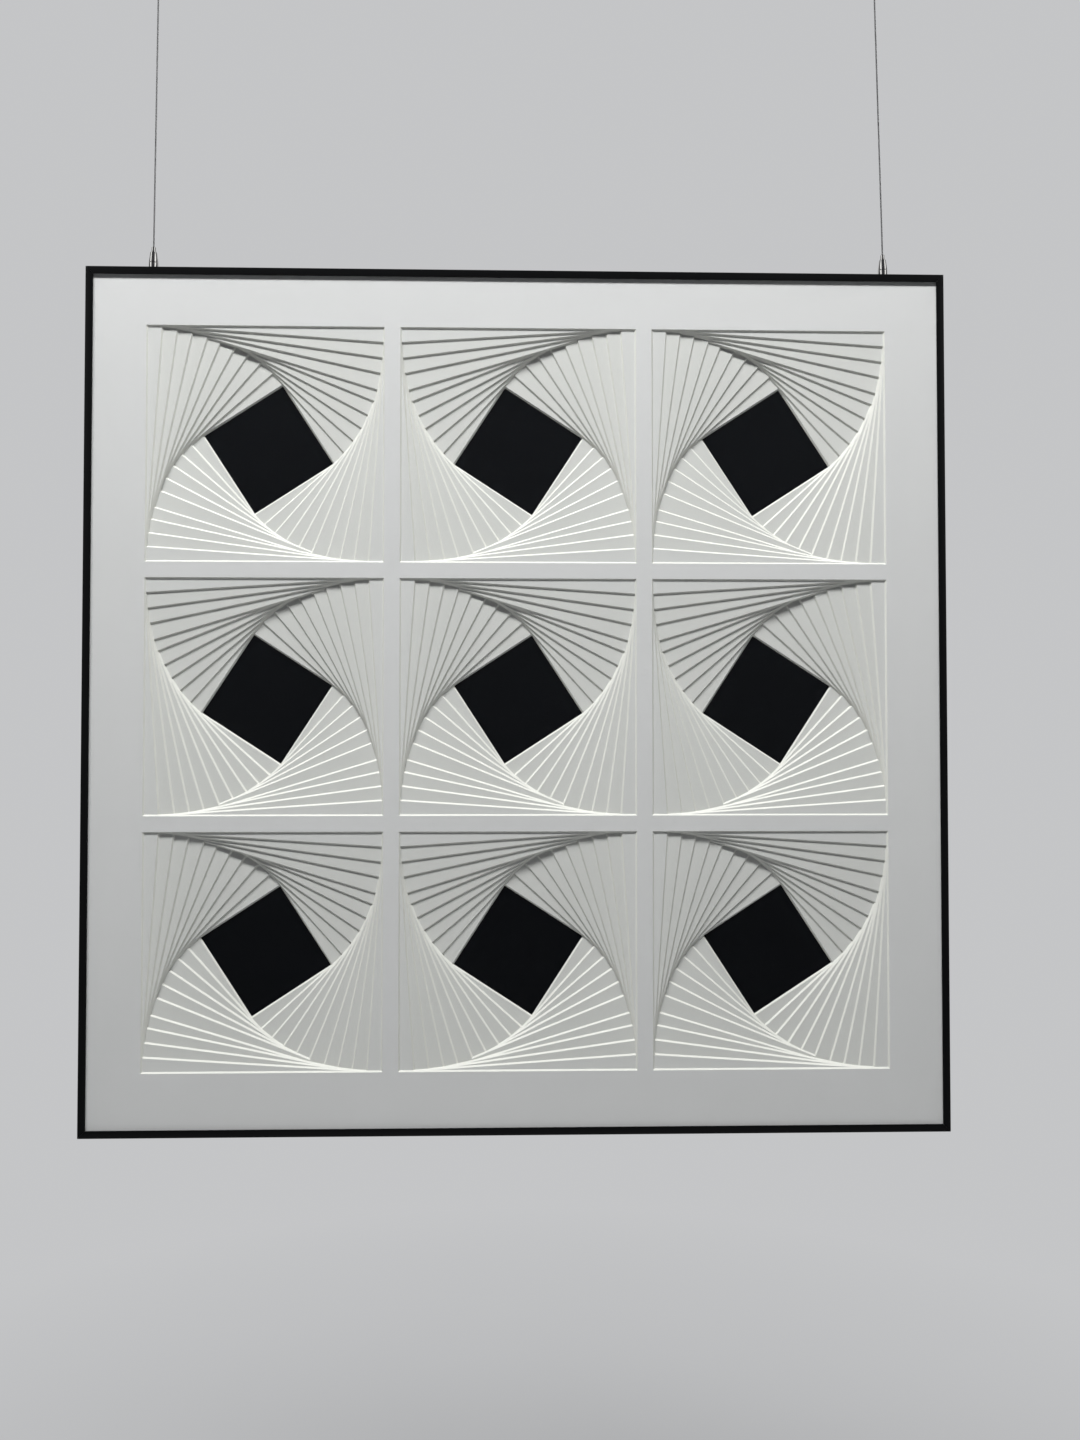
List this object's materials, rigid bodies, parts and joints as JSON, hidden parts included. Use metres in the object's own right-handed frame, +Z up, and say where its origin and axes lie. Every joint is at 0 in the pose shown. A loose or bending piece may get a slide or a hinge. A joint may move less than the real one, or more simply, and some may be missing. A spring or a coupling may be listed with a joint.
{
  "type": "paper relief wall art",
  "caption": "Square framed relief of stacked bevel-cut white boards, with nested turned square windows over black, behind glass and hung on steel wires.",
  "frame": {"origin": "centre of the frame, in width, height and depth", "axes": "+Z up, the picture faces -Y, +X to the right seen from the front"},
  "size_m": [0.8, 0.036, 1.1177],
  "materials": {
    "black_anodised": "satin",
    "zinc_steel": "satin",
    "spring_steel": "satin",
    "clear_glass": "polished",
    "white_board": "matte",
    "black_card": "matte",
    "backing": "matte",
    "bright_nickel": "polished",
    "steel_wire": "satin"
  },
  "bodies": {
    "root": {"frame_rail_top": "black_anodised", "frame_rail_bottom": "black_anodised", "frame_rail_left": "black_anodised", "frame_rail_right": "black_anodised", "corner_key_top_left": "zinc_steel", "corner_key_top_right": "zinc_steel", "corner_key_bottom_left": "zinc_steel", "corner_key_bottom_right": "zinc_steel", "corner_set_screws": "zinc_steel", "gripper_slide_nuts": "zinc_steel", "spring_clips": "spring_steel", "glass_sheet": "clear_glass", "relief_sheet_01": "white_board", "relief_sheet_02": "white_board", "relief_sheet_03": "white_board", "relief_sheet_04": "white_board", "relief_sheet_05": "white_board", "relief_sheet_06": "white_board", "relief_sheet_07": "white_board", "relief_sheet_08": "white_board", "relief_sheet_09": "white_board", "relief_sheet_10": "white_board", "relief_sheet_11": "white_board", "black_board": "black_card", "back_board": "backing", "wire_gripper_left": "bright_nickel", "wire_gripper_right": "bright_nickel", "wire_eye_left": "bright_nickel", "wire_eye_right": "bright_nickel", "hanging_wire_left": "steel_wire", "hanging_wire_right": "steel_wire"}
  },
  "joints": []
}
